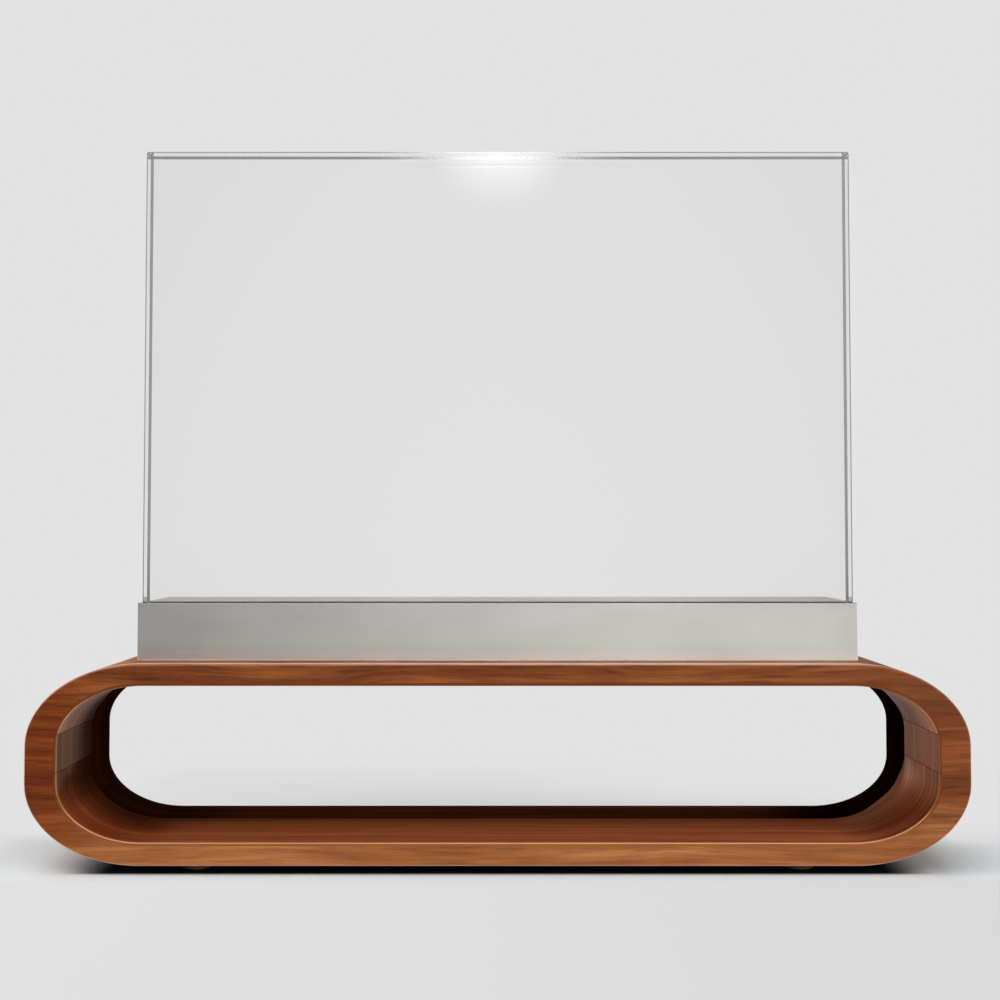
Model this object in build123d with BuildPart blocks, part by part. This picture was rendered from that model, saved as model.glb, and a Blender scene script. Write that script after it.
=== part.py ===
from build123d import *
import os

# Photo album stand: a rounded walnut loop on four small feet, open from front
# to back as a shelf for albums, with a slotted metal plinth on top that holds
# a thick upright glass panel.
# Millimetres. +X is the length, +Y runs from the front face to the back,
# +Z is up. The origin is on the surface the stand rests on, under the middle.

# ---------------------------------------------------------------- dimensions
LOOP_W = 300.0            # loop length
LOOP_H = 63.6             # loop height without the feet
RING_T = (15.0, 15.0, 18.6)   # the three laminations, front to back
LOOP_D = sum(RING_T)      # loop depth, 48.6
OUT_RX, OUT_RZ = 36.5, 26.0   # outer corner, half axes of its quarter ellipse
EDGE_R = 0.8              # eased outer edges of the loop

WALL_TOP = 7.0            # board and lining together
WALL_BOTTOM = 7.4
WALL_END = 10.5
IN_RX, IN_RZ = 27.0, 18.4     # inner corner of the clear opening
LINER_T = 1.0             # thickness of the inner lining
GLUE = 0.05               # glue film behind the lining
SEAM = 0.2                # open line between two lining pieces
SEAM_LOW = 29.2           # seam heights above the loop's underside
SEAM_HIGH = 41.4
LINER_EDGE = 0.6          # chamfer on the lining's visible edges
BAND_JOINT = 35.3         # joint height of the two dark rear halves

FOOT_D, FOOT_H = 12.0, 2.2    # turned foot
PAD_D, PAD_H = 10.6, 0.8      # rubber pad under it
FOOT_X, FOOT_Y = 97.5, 12.3

DOWEL_D = 4.0
DOWEL_DEPTH = 9.0         # blind depth in the front and rear laminations

UNDERLAY_T = 0.1
PLINTH_L, PLINTH_D, PLINTH_H = 234.2, 39.0, 18.7
PLINTH_FRONT = 8.6        # set back from the loop's front face
PLINTH_EDGE = 0.45
SLOT_DEPTH = 8.0
SLOT_W = 11.8
SLOT_FRONT = 1.7          # front lip of the plinth
PLINTH_SCREW_X = (-90.0, 0.0, 90.0)
PLINTH_SCREW_Y = (-1.8, 15.0)

GASKET_T = 0.8
GLASS_L, GLASS_T = 233.0, 10.0
GLASS_TOP = 234.6         # above the table
GLASS_EDGE = 0.5          # arris along every edge
GLASS_PLAY = 0.05         # each side, glass to seal

# ------------------------------------------------------------ derived levels
Z0 = FOOT_H + PAD_H                   # loop underside, 3.0
Z1 = Z0 + LOOP_H                      # loop top
Y0 = -LOOP_D / 2                      # front face
Y1 = Y0 + RING_T[0]
Y2 = Y1 + RING_T[1]
Y3 = LOOP_D / 2                       # back face
PLINTH_Z = Z1 + UNDERLAY_T
PLINTH_TOP = PLINTH_Z + PLINTH_H
PLINTH_Y = Y0 + PLINTH_FRONT
SLOT_Y = PLINTH_Y + SLOT_FRONT
SLOT_Z = PLINTH_TOP - SLOT_DEPTH
GASKET_Y = SLOT_Y + SLOT_W / 2        # middle of the slot and of the glass
GLASS_Z = SLOT_Z + GASKET_T

os.makedirs("parts", exist_ok=True)


def save(part, label):
    part.label = label
    export_step(part, f"parts/{label}.step")


def front_plane(y):
    """Upright sketch plane at depth y: local x is +X, local y is +Z."""
    return Plane.XZ.offset(-y)


def outline(grow, rx, rz, outer=False, mode=Mode.ADD):
    """Rounded rectangle with elliptical corners, drawn in the open sketch.
    The clear opening grown by grow on every side, or the outer shape."""
    if outer:
        hw, lo, hi = LOOP_W / 2, Z0, Z1
    else:
        hw = LOOP_W / 2 - WALL_END + grow
        lo = Z0 + WALL_BOTTOM - grow
        hi = Z1 - WALL_TOP + grow
    with BuildLine(Plane.XY) as loop_line:
        Line((-hw + rx, lo), (hw - rx, lo))
        EllipticalCenterArc((hw - rx, lo + rz), rx, rz, -90, arc_size=90)
        Line((hw, lo + rz), (hw, hi - rz))
        EllipticalCenterArc((hw - rx, hi - rz), rx, rz, 0, arc_size=90)
        Line((hw - rx, hi), (-hw + rx, hi))
        EllipticalCenterArc((-hw + rx, hi - rz), rx, rz, 90, arc_size=90)
        Line((-hw, hi - rz), (-hw, lo + rz))
        EllipticalCenterArc((-hw + rx, lo + rz), rx, rz, 180, arc_size=90)
    make_face(loop_line.edges(), mode=mode)


def outer_outline():
    outline(0, OUT_RX, OUT_RZ, outer=True)


def hole_outline(grow):
    """The clear opening grown by grow, cut from the open sketch."""
    outline(grow, IN_RX + grow, IN_RZ + grow, mode=Mode.SUBTRACT)


def lining_sketch():
    """Cross-section of the whole lining, added to the open sketch."""
    outline(LINER_T, IN_RX + LINER_T, IN_RZ + LINER_T)
    hole_outline(0)


def on_clear_opening(e):
    """True for an edge that lies on the outline of the clear opening."""
    p = e @ 0.5
    hw = LOOP_W / 2 - WALL_END
    lo, hi = Z0 + WALL_BOTTOM, Z1 - WALL_TOP
    q = e @ 0.25
    for v in (p, q):
        dx = abs(v.X) - (hw - IN_RX)
        dz = max(lo + IN_RZ - v.Z, v.Z - (hi - IN_RZ))
        if dx > 0 and dz > 0:
            off = ((dx / IN_RX) ** 2 + (dz / IN_RZ) ** 2) ** 0.5 - 1
            if abs(off) > 0.004:
                return False
        else:
            near = min(abs(abs(v.X) - hw), abs(v.Z - lo), abs(v.Z - hi))
            if near > 0.02:
                return False
    return True


# Dowel centres in the thick of the corners and of the end walls
DOWELS = [(sx * 135.8, z) for sx in (-1, 1) for z in (Z0 + 9.85, Z0 + 53.95)]
DOWELS += [(sx * 145.3, Z0 + 31.8) for sx in (-1, 1)]

# ------------------------------------------------------- walnut laminations
with BuildPart() as loop_front_ring:
    with BuildSketch(front_plane(Y0)):
        outer_outline()
        hole_outline(LINER_T + GLUE)
    extrude(amount=-RING_T[0])
    rim = loop_front_ring.faces().sort_by(Axis.Y)[0].outer_wire().edges()
    fillet(rim, radius=EDGE_R)
    # blind dowel holes from the glue face
    with BuildSketch(front_plane(Y1)):
        with Locations(*DOWELS):
            Circle(DOWEL_D / 2 + 0.05)
    extrude(amount=DOWEL_DEPTH, mode=Mode.SUBTRACT)
    # pilot holes of the two front feet
    with BuildSketch(Plane.XY.offset(Z0)):
        with Locations((-FOOT_X, -FOOT_Y), (FOOT_X, -FOOT_Y)):
            Circle(1.5)
    extrude(amount=5.4, mode=Mode.SUBTRACT)
save(loop_front_ring.part, "loop_front_ring")

with BuildPart() as loop_middle_ring:
    with BuildSketch(front_plane(Y1)):
        outer_outline()
        hole_outline(LINER_T + GLUE)
        with Locations(*DOWELS):
            Circle(DOWEL_D / 2 + 0.05, mode=Mode.SUBTRACT)
    extrude(amount=-RING_T[1])
    # clearance holes of the front row of plinth screws
    with BuildSketch(Plane.XY.offset(Z1 - WALL_TOP)):
        with Locations(*[(x, PLINTH_SCREW_Y[0]) for x in PLINTH_SCREW_X]):
            Circle(2.2)
    extrude(amount=WALL_TOP + 1, mode=Mode.SUBTRACT)
    # countersinks that reach through the lining into the board
    with Locations(*[(x, PLINTH_SCREW_Y[0], Z1 - WALL_TOP) for x in PLINTH_SCREW_X]):
        Cone(4.1, 1.9, 2.2, align=(Align.CENTER, Align.CENTER, Align.MIN),
             mode=Mode.SUBTRACT)
save(loop_middle_ring.part, "loop_middle_ring")

with BuildPart() as loop_rear_ring:
    with BuildSketch(front_plane(Y2)):
        outer_outline()
        hole_outline(LINER_T + GLUE)
    extrude(amount=-RING_T[2])
    rim = loop_rear_ring.faces().sort_by(Axis.Y)[-1].outer_wire().edges()
    fillet(rim, radius=EDGE_R)
    with BuildSketch(front_plane(Y2)):
        with Locations(*DOWELS):
            Circle(DOWEL_D / 2 + 0.05)
    extrude(amount=-DOWEL_DEPTH, mode=Mode.SUBTRACT)
    with BuildSketch(Plane.XY.offset(Z0)):
        with Locations((-FOOT_X, FOOT_Y), (FOOT_X, FOOT_Y)):
            Circle(1.5)
    extrude(amount=5.4, mode=Mode.SUBTRACT)
    with BuildSketch(Plane.XY.offset(Z1 - WALL_TOP)):
        with Locations(*[(x, PLINTH_SCREW_Y[1]) for x in PLINTH_SCREW_X]):
            Circle(2.2)
    extrude(amount=WALL_TOP + 1, mode=Mode.SUBTRACT)
    with Locations(*[(x, PLINTH_SCREW_Y[1], Z1 - WALL_TOP) for x in PLINTH_SCREW_X]):
        Cone(4.1, 1.9, 2.2, align=(Align.CENTER, Align.CENTER, Align.MIN),
             mode=Mode.SUBTRACT)
save(loop_rear_ring.part, "loop_rear_ring")

with BuildPart() as loop_dowels:
    with BuildSketch(front_plane(Y1 - DOWEL_DEPTH + 0.3)):
        with Locations(*DOWELS):
            Circle(DOWEL_D / 2)
    extrude(amount=-(RING_T[1] + 2 * DOWEL_DEPTH - 0.6))
    ends = loop_dowels.faces().filter_by(Axis.Y).edges()
    chamfer(ends, length=0.4)
save(loop_dowels.part, "loop_dowels")

# -------------------------------------------------------------- inner lining
with BuildPart() as liner_lower_wrap:
    with BuildSketch(front_plane(Y0)):
        lining_sketch()
        with Locations((0, Z0 + SEAM_LOW - SEAM / 2)):
            Rectangle(LOOP_W, LOOP_H, align=(Align.CENTER, Align.MAX),
                      mode=Mode.INTERSECT)
    extrude(amount=-(Y2 - Y0 - GLUE))
    front = liner_lower_wrap.faces().sort_by(Axis.Y)[0].edges()
    chamfer(front.filter_by(on_clear_opening), length=LINER_EDGE)
save(liner_lower_wrap.part, "liner_lower_wrap")

with BuildPart() as liner_upper_wrap:
    with BuildSketch(front_plane(Y0)):
        lining_sketch()
        with Locations((0, Z0 + SEAM_HIGH + SEAM / 2)):
            Rectangle(LOOP_W, LOOP_H, align=(Align.CENTER, Align.MIN),
                      mode=Mode.INTERSECT)
    extrude(amount=-(Y2 - Y0 - GLUE))
    front = liner_upper_wrap.faces().sort_by(Axis.Y)[0].edges()
    chamfer(front.filter_by(on_clear_opening), length=LINER_EDGE)
    # countersinks for the front row of plinth screws
    with Locations(*[(x, PLINTH_SCREW_Y[0], Z1 - WALL_TOP) for x in PLINTH_SCREW_X]):
        Cone(4.1, 1.9, 2.2, align=(Align.CENTER, Align.CENTER, Align.MIN),
             mode=Mode.SUBTRACT)
save(liner_upper_wrap.part, "liner_upper_wrap")

for side, label in ((-1, "liner_left_panel"), (1, "liner_right_panel")):
    with BuildPart() as liner_panel:
        with BuildSketch(front_plane(Y0)):
            lining_sketch()
            with Locations((side * LOOP_W / 2, Z0 + (SEAM_LOW + SEAM_HIGH) / 2)):
                Rectangle(60, SEAM_HIGH - SEAM_LOW - SEAM, mode=Mode.INTERSECT)
        extrude(amount=-(Y2 - Y0 - GLUE))
        front = liner_panel.faces().sort_by(Axis.Y)[0].edges()
        chamfer(front.filter_by(on_clear_opening), length=LINER_EDGE)
    save(liner_panel.part, label)

# ------------------------------------------------- dark rear part of the lining
with BuildPart() as rear_band_lower:
    with BuildSketch(front_plane(Y2)):
        lining_sketch()
        with Locations((0, Z0 + BAND_JOINT - 0.03)):
            Rectangle(LOOP_W, LOOP_H, align=(Align.CENTER, Align.MAX),
                      mode=Mode.INTERSECT)
    extrude(amount=-RING_T[2])
    back = rear_band_lower.faces().sort_by(Axis.Y)[-1].edges()
    chamfer(back.filter_by(on_clear_opening), length=LINER_EDGE)
save(rear_band_lower.part, "rear_band_lower")

with BuildPart() as rear_band_upper:
    with BuildSketch(front_plane(Y2)):
        lining_sketch()
        with Locations((0, Z0 + BAND_JOINT + 0.03)):
            Rectangle(LOOP_W, LOOP_H, align=(Align.CENTER, Align.MIN),
                      mode=Mode.INTERSECT)
    extrude(amount=-RING_T[2])
    back = rear_band_upper.faces().sort_by(Axis.Y)[-1].edges()
    chamfer(back.filter_by(on_clear_opening), length=LINER_EDGE)
    with Locations(*[(x, PLINTH_SCREW_Y[1], Z1 - WALL_TOP) for x in PLINTH_SCREW_X]):
        Cone(4.1, 1.9, 2.2, align=(Align.CENTER, Align.CENTER, Align.MIN),
             mode=Mode.SUBTRACT)
save(rear_band_upper.part, "rear_band_upper")

# ---------------------------------------------------------------------- feet
FEET = {
    "foot_front_left": (-FOOT_X, -FOOT_Y),
    "foot_front_right": (FOOT_X, -FOOT_Y),
    "foot_rear_left": (-FOOT_X, FOOT_Y),
    "foot_rear_right": (FOOT_X, FOOT_Y),
}
for label, (fx, fy) in FEET.items():
    with BuildPart() as foot:
        with BuildSketch(Plane.XY.offset(PAD_H)):
            with Locations((fx, fy)):
                Circle(FOOT_D / 2)
        extrude(amount=FOOT_H)
        low = foot.faces().sort_by(Axis.Z)[0].edges()
        fillet(low, radius=0.5)
        # countersunk screw hole from below
        with Locations(Location((fx, fy, PAD_H), (180, 0, 0))):
            CounterSinkHole(1.6, 2.95, depth=FOOT_H + 1, counter_sink_angle=90)
    save(foot.part, label)

with BuildPart() as foot_pads:
    with BuildSketch(Plane.XY):
        with Locations(*FEET.values()):
            Circle(PAD_D / 2)
    extrude(amount=PAD_H)
    chamfer(foot_pads.faces().sort_by(Axis.Z)[:4].edges(), length=0.15)
save(foot_pads.part, "foot_pads")

with BuildPart() as foot_screws:
    # head flush with the foot, cone, shank and tip, turned about each axis
    for fx, fy in FEET.values():
        with BuildSketch(Plane(origin=(fx, fy, PAD_H), x_dir=(1, 0, 0),
                               z_dir=(0, -1, 0))) as screw_profile:
            with BuildLine():
                Polyline((0, 0.95), (1.1, 0.95), (1.1, 0.0), (2.75, 0.0),
                         (2.75, 0.15), (1.42, 1.48), (1.42, 5.6), (0, 7.1),
                         (0, 0.95))
            make_face()
        revolve(axis=Axis((fx, fy, 0), (0, 0, 1)))
save(foot_screws.part, "foot_screws")

# -------------------------------------------------------------------- plinth
SCREW_SPOTS = [(x, y) for x in PLINTH_SCREW_X for y in PLINTH_SCREW_Y]

with BuildPart() as plinth_bar:
    with BuildSketch(Plane.XY.offset(PLINTH_Z)):
        with Locations((0, PLINTH_Y)):
            Rectangle(PLINTH_L, PLINTH_D, align=(Align.CENTER, Align.MIN))
    extrude(amount=PLINTH_H)
    fillet(plinth_bar.edges(), radius=PLINTH_EDGE)
    # slot milled through the full length
    with BuildSketch(Plane.YZ.offset(-PLINTH_L / 2 - 1)):
        with Locations((SLOT_Y, SLOT_Z)):
            Rectangle(SLOT_W, SLOT_DEPTH + 1, align=(Align.MIN, Align.MIN))
    extrude(amount=PLINTH_L + 2, mode=Mode.SUBTRACT)
    # tapped holes for the screws from below
    with BuildSketch(Plane.XY.offset(PLINTH_Z)):
        with Locations(*SCREW_SPOTS):
            Circle(2.0)
    extrude(amount=7.4, mode=Mode.SUBTRACT)
save(plinth_bar.part, "plinth_bar")

with BuildPart() as plinth_underlay:
    with BuildSketch(Plane.XY.offset(Z1)):
        with Locations((0, PLINTH_Y + 0.8)):
            Rectangle(PLINTH_L - 1.6, PLINTH_D - 1.6,
                      align=(Align.CENTER, Align.MIN))
        with Locations(*SCREW_SPOTS):
            Circle(2.3, mode=Mode.SUBTRACT)
    extrude(amount=UNDERLAY_T)
save(plinth_underlay.part, "plinth_underlay")

with BuildPart() as plinth_screws:
    # countersunk machine screws with a hex socket, heads flush in the ceiling
    for sx, sy in SCREW_SPOTS:
        with BuildSketch(Plane(origin=(sx, sy, Z1 - WALL_TOP), x_dir=(1, 0, 0),
                               z_dir=(0, -1, 0))):
            with BuildLine():
                Polyline((0, 0.05), (3.75, 0.05), (3.75, 0.3), (1.95, 2.1),
                         (1.95, 13.6), (1.55, 14.0), (0, 14.0), (0, 0.05))
            make_face()
        revolve(axis=Axis((sx, sy, 0), (0, 0, 1)))
    with BuildSketch(Plane.XY.offset(Z1 - WALL_TOP)):
        with Locations(*SCREW_SPOTS):
            RegularPolygon(1.25, 6, major_radius=False)
    extrude(amount=1.9, mode=Mode.SUBTRACT)
save(plinth_screws.part, "plinth_screws")

# -------------------------------------------------------------- slot and glass
with BuildPart() as slot_gasket:
    with BuildSketch(Plane.YZ.offset(-GLASS_L / 2 + 0.1)):
        with Locations((GASKET_Y, SLOT_Z)):
            Rectangle(SLOT_W - 0.1, SLOT_DEPTH - 0.2,
                      align=(Align.CENTER, Align.MIN))
        with Locations((GASKET_Y, GLASS_Z)):
            Rectangle(GLASS_T + 2 * GLASS_PLAY, SLOT_DEPTH,
                      align=(Align.CENTER, Align.MIN), mode=Mode.SUBTRACT)
    extrude(amount=GLASS_L - 0.2)
save(slot_gasket.part, "slot_gasket")

with BuildPart() as glass_panel:
    with BuildSketch(Plane.XY.offset(GLASS_Z)):
        with Locations((0, GASKET_Y)):
            Rectangle(GLASS_L, GLASS_T)
    extrude(amount=GLASS_TOP - GLASS_Z)
    chamfer(glass_panel.edges().filter_by(Axis.Z), length=GLASS_EDGE)
    chamfer(glass_panel.faces().sort_by(Axis.Z)[-1].edges(), length=GLASS_EDGE)
    chamfer(glass_panel.faces().sort_by(Axis.Z)[0].edges(), length=GLASS_EDGE)
save(glass_panel.part, "glass_panel")
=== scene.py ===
import math

import bmesh
import bpy
import numpy as np
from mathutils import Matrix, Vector


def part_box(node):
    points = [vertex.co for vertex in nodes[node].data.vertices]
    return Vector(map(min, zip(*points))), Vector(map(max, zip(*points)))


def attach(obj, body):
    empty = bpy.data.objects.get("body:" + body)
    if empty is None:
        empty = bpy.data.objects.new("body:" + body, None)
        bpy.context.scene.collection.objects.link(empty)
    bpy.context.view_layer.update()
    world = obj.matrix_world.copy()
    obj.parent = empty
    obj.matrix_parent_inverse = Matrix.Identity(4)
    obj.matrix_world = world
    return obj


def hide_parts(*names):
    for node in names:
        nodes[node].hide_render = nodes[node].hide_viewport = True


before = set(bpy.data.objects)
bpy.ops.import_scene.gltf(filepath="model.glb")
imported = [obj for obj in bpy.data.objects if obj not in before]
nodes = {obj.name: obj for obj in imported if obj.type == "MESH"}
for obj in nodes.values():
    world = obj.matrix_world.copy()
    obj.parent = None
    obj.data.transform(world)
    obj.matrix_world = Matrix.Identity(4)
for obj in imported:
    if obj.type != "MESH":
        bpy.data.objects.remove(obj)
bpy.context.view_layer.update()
MM = 0.001
scene = bpy.context.scene

# ------------------------------------------------------------- frame facts
front_lo, front_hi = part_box("loop_front_ring")
mid_lo, mid_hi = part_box("loop_middle_ring")
rear_lo, rear_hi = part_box("loop_rear_ring")
glass_lo, glass_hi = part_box("glass_panel")
bar_lo, bar_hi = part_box("plinth_bar")
gas_lo, gas_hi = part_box("slot_gasket")
Y0, Y1, Y2, Y3 = front_lo.y, mid_lo.y, rear_lo.y, rear_hi.y
HW_OUT, Z_OUT_LO, Z_OUT_HI = front_hi.x, front_lo.z, front_hi.z
OUT_RX, OUT_RZ = 36.5 * MM, 26.0 * MM
EDGE_R = 0.8 * MM
# the clear opening of the lining
HW_IN, Z_IN_LO, Z_IN_HI = 139.5 * MM, 10.4 * MM, 59.6 * MM
IN_RX, IN_RZ = 27.0 * MM, 18.4 * MM
LINER_T, GLUE, LINER_EDGE = 1.0 * MM, 0.05 * MM, 0.6 * MM
Z_SEAM_LO, Z_SEAM_HI, SEAM = 32.2 * MM, 44.4 * MM, 0.2 * MM
Z_BAND, BAND_GAP = 38.3 * MM, 0.06 * MM
SCREW_X, SCREW_Y = (-90 * MM, 0.0, 90 * MM), (-1.8 * MM, 15.0 * MM)


# ------------------------------------------------------------ mesh helpers
def finish_mesh(mesh, sharp_deg=32.0):
    """Outward normals, smooth faces, and sharp edges above the angle."""
    bm = bmesh.new()
    bm.from_mesh(mesh)
    bmesh.ops.recalc_face_normals(bm, faces=bm.faces)
    limit = math.radians(sharp_deg)
    for f in bm.faces:
        f.smooth = True
    for e in bm.edges:
        e.smooth = not (len(e.link_faces) == 2 and e.calc_face_angle(0.0) > limit)
    bm.to_mesh(mesh)
    bm.free()


def new_object(name, verts, faces, sharp_deg=32.0):
    mesh = bpy.data.meshes.new(name)
    mesh.from_pydata([tuple(v) for v in verts], [], faces)
    mesh.validate()
    finish_mesh(mesh, sharp_deg)
    obj = bpy.data.objects.new(name, mesh)
    scene.collection.objects.link(obj)
    return obj


def even_normals(obj):
    m = obj.modifiers.new("even_normals", "WEIGHTED_NORMAL")
    m.keep_sharp = True
    m.weight = 60
    return obj


def apply_all(obj):
    """The mesh with its modifiers worked in."""
    bpy.context.view_layer.update()
    dg = bpy.context.evaluated_depsgraph_get()
    made = bpy.data.meshes.new_from_object(obj.evaluated_get(dg))
    obj.modifiers.clear()
    obj.data = made
    return obj


def cut(obj, tool):
    """The holes of tool, taken out of obj for good."""
    m = obj.modifiers.new("holes", "BOOLEAN")
    m.operation = "DIFFERENCE"
    m.solver = "EXACT"
    m.object = tool
    apply_all(obj)
    finish_mesh(obj.data)
    return obj


def turned(name, profile, spots, turns=40):
    """A closed profile of (radius, height), turned about each spot. A profile
    starts and ends on the axis."""
    verts, faces = [], []
    for cx, cy in spots:
        base = len(verts)
        ring = profile[1:-1]
        verts.append((cx, cy, profile[0][1]))
        verts.append((cx, cy, profile[-1][1]))
        for r, z in ring:
            for k in range(turns):
                a = 2 * math.pi * k / turns
                verts.append((cx + r * math.cos(a), cy + r * math.sin(a), z))
        for k in range(turns):
            n = (k + 1) % turns
            faces.append((base, base + 2 + n, base + 2 + k))
            for j in range(len(ring) - 1):
                p, q = base + 2 + j * turns, base + 2 + (j + 1) * turns
                faces.append((p + k, p + n, q + n, q + k))
            p = base + 2 + (len(ring) - 1) * turns
            faces.append((base + 1, p + k, p + n))
    return new_object(name, verts, faces)


class Outline:
    """A closed outline of four flats and four elliptical quarter turns, seen
    from the front with +X to the right. A station is (part, t): the part,
    counted from the right half of the floor, and 0..1 along it."""

    def __init__(self, hw, lo, hi, rx, rz):
        self.hw, self.lo, self.hi, self.rx, self.rz = hw, lo, hi, rx, rz

    def at(self, part, t):
        hw, lo, hi, rx, rz = self.hw, self.lo, self.hi, self.rx, self.rz
        if part in (1, 3, 5, 7):
            start = {1: -90, 3: 0, 5: 90, 7: 180}[part]
            a = math.radians(start + 90 * t)
            cx = (hw - rx) if part in (1, 3) else -(hw - rx)
            cz = (lo + rz) if part in (1, 7) else (hi - rz)
            n = Vector((math.cos(a) / rx, math.sin(a) / rz)).normalized()
            return (cx + rx * math.cos(a), cz + rz * math.sin(a), n.x, n.y)
        (ax, az), (bx, bz), n = {
            0: ((0, lo), (hw - rx, lo), (0, -1)),
            2: ((hw, lo + rz), (hw, hi - rz), (1, 0)),
            4: ((hw - rx, hi), (-(hw - rx), hi), (0, 1)),
            6: ((-hw, hi - rz), (-hw, lo + rz), (-1, 0)),
            8: ((-(hw - rx), lo), (0, lo), (0, -1)),
        }[part]
        return (ax + (bx - ax) * t, az + (bz - az) * t, n[0], n[1])


COUNTS = {0: 24, 1: 40, 2: 10, 3: 40, 4: 48, 5: 40, 6: 10, 7: 40, 8: 24}
OUTER = Outline(HW_OUT, Z_OUT_LO, Z_OUT_HI, OUT_RX, OUT_RZ)
CLEAR = Outline(HW_IN, Z_IN_LO, Z_IN_HI, IN_RX, IN_RZ)


def grown(by):
    return Outline(HW_IN + by, Z_IN_LO - by, Z_IN_HI + by, IN_RX + by, IN_RZ + by)


WOOD_IN, LINING_BACK = grown(LINER_T + GLUE), grown(LINER_T)


def stations(first=(0, 0.0), last=(8, 1.0), closed=True):
    out = []
    for part in range(first[0], last[0] + 1):
        t0 = first[1] if part == first[0] else 0.0
        t1 = last[1] if part == last[0] else 1.0
        k = max(2, round(COUNTS[part] * (t1 - t0)))
        out += [(part, t0 + (t1 - t0) * i / k) for i in range(k)]
    if not closed:
        out.append(last)
    return out


def row(outline, sts, inset, y):
    pts = []
    for part, t in sts:
        x, z, nx, nz = outline.at(part, t)
        pts.append((x - nx * inset, y, z - nz * inset))
    return pts


def between(sts, a, b, f, y):
    """Points a share f of the way from outline a to outline b."""
    out = []
    for part, t in sts:
        xa, za, _, _ = a.at(part, t)
        xb, zb, _, _ = b.at(part, t)
        out.append((xa + (xb - xa) * f, y, za + (zb - za) * f))
    return out


def skin(name, rows, closed):
    """Faces between neighbouring rows, which go round a section. With
    closed=False the two ends are capped."""
    n, m = len(rows[0]), len(rows)
    verts = [p for r in rows for p in r]
    faces = []
    for j in range(m):
        a, b = j * n, ((j + 1) % m) * n
        for i in range(n if closed else n - 1):
            k = (i + 1) % n
            faces.append((a + i, a + k, b + k, b + i))
    if not closed:
        faces.append(tuple(j * n for j in range(m)))
        faces.append(tuple(j * n + n - 1 for j in reversed(range(m))))
    return new_object(name, verts, faces)


def quarter(steps, r):
    """(towards the side, towards the end) offsets round an eased edge."""
    return [(r * (1 - math.sin(math.radians(90 * k / steps))),
             r * (1 - math.cos(math.radians(90 * k / steps))))
            for k in range(steps + 1)]


def board_ring(name, y_front, y_back, round_front=False, round_back=False):
    sts = stations()
    tick = 0.08 * MM           # the hair line where two boards are glued
    rows = [row(WOOD_IN, sts, 0, y_back), row(WOOD_IN, sts, 0, y_front)]
    rows += [between(sts, WOOD_IN, OUTER, f, y_front) for f in (0.3, 0.6)]
    if round_front:
        rows += [row(OUTER, sts, i, y_front + e) for i, e in quarter(8, EDGE_R)]
    else:
        rows += [row(OUTER, sts, tick, y_front), row(OUTER, sts, 0, y_front + tick)]
    if round_back:
        rows += [row(OUTER, sts, i, y_back - e)
                 for i, e in reversed(quarter(8, EDGE_R))]
    else:
        rows += [row(OUTER, sts, 0, y_back - tick), row(OUTER, sts, tick, y_back)]
    rows += [between(sts, WOOD_IN, OUTER, f, y_back) for f in (0.6, 0.3)]
    return skin(name, rows, True)


def lining(name, y_front, y_back, spans, ease_front, ease_back):
    """A bent strip of lining. spans is a list of (first, last) stations taken
    one after the other; an open edge is eased."""
    sts = []
    for i, (first, last) in enumerate(spans):
        sts += stations(first, last, closed=(i < len(spans) - 1))
    rows = [row(LINING_BACK, sts, 0, y_back), row(LINING_BACK, sts, 0, y_front)]
    edge = quarter(6, LINER_EDGE)
    if ease_front:
        rows += [row(CLEAR, sts, -i, y_front + e) for i, e in edge]
    else:
        rows.append(row(CLEAR, sts, 0, y_front))
    rows += [row(CLEAR, sts, 0, y_front + (y_back - y_front) * f)
             for f in (0.25, 0.5, 0.75)]
    if ease_back:
        rows += [row(CLEAR, sts, -i, y_back - e) for i, e in reversed(edge)]
    else:
        rows.append(row(CLEAR, sts, 0, y_back))
    return skin(name, rows, False)


def flat_t(z):
    """Share of the way up the right end flat of the clear opening."""
    return (z - Z_IN_LO - IN_RZ) / (Z_IN_HI - Z_IN_LO - 2 * IN_RZ)


def arc_t(z):
    """Share of the upper right quarter turn at height z."""
    return math.degrees(math.asin((z - (Z_IN_HI - IN_RZ)) / IN_RZ)) / 90


def lay_grain(obj):
    """The grain attribute: run along the lining, depth, and distance from the
    clear opening, for every point of the mesh."""
    sts = stations()
    pts = np.array([(p[0], p[2]) for p in row(CLEAR, sts, 0, 0)])
    ends = np.roll(pts, -1, axis=0)
    seg = ends - pts
    length = np.hypot(seg[:, 0], seg[:, 1])
    start = np.concatenate([[0], np.cumsum(length)[:-1]])
    co = np.array([v.co for v in obj.data.vertices], float).reshape(-1, 3)
    p = co[:, [0, 2]]
    t = np.einsum("vsk,sk->vs", p[:, None, :] - pts[None], seg) / (length**2)
    t = np.clip(t, 0, 1)
    near = pts[None] + t[..., None] * seg[None]
    d = np.hypot(*(np.moveaxis(near - p[:, None, :], 2, 0)))
    k = d.argmin(axis=1)
    i = np.arange(len(co))
    run = start[k] + t[i, k] * length[k]
    total = length.sum()
    run = np.where(run > total / 2, run - total, run)   # the cut is in the ceiling
    layer = obj.data.attributes.new("grain", "FLOAT_VECTOR", "POINT")
    layer.data.foreach_set(
        "vector", np.stack([run, co[:, 1], d[i, k]], 1).astype(np.float32).ravel())


# --------------------------------------------------------------- the loop
pieces = {}
pieces["loop_front_ring"] = board_ring("walnut_front_board", Y0, Y1, round_front=True)
pieces["loop_middle_ring"] = board_ring("walnut_middle_board", Y1, Y2)
pieces["loop_rear_ring"] = board_ring("walnut_rear_board", Y2, Y3, round_back=True)

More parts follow.
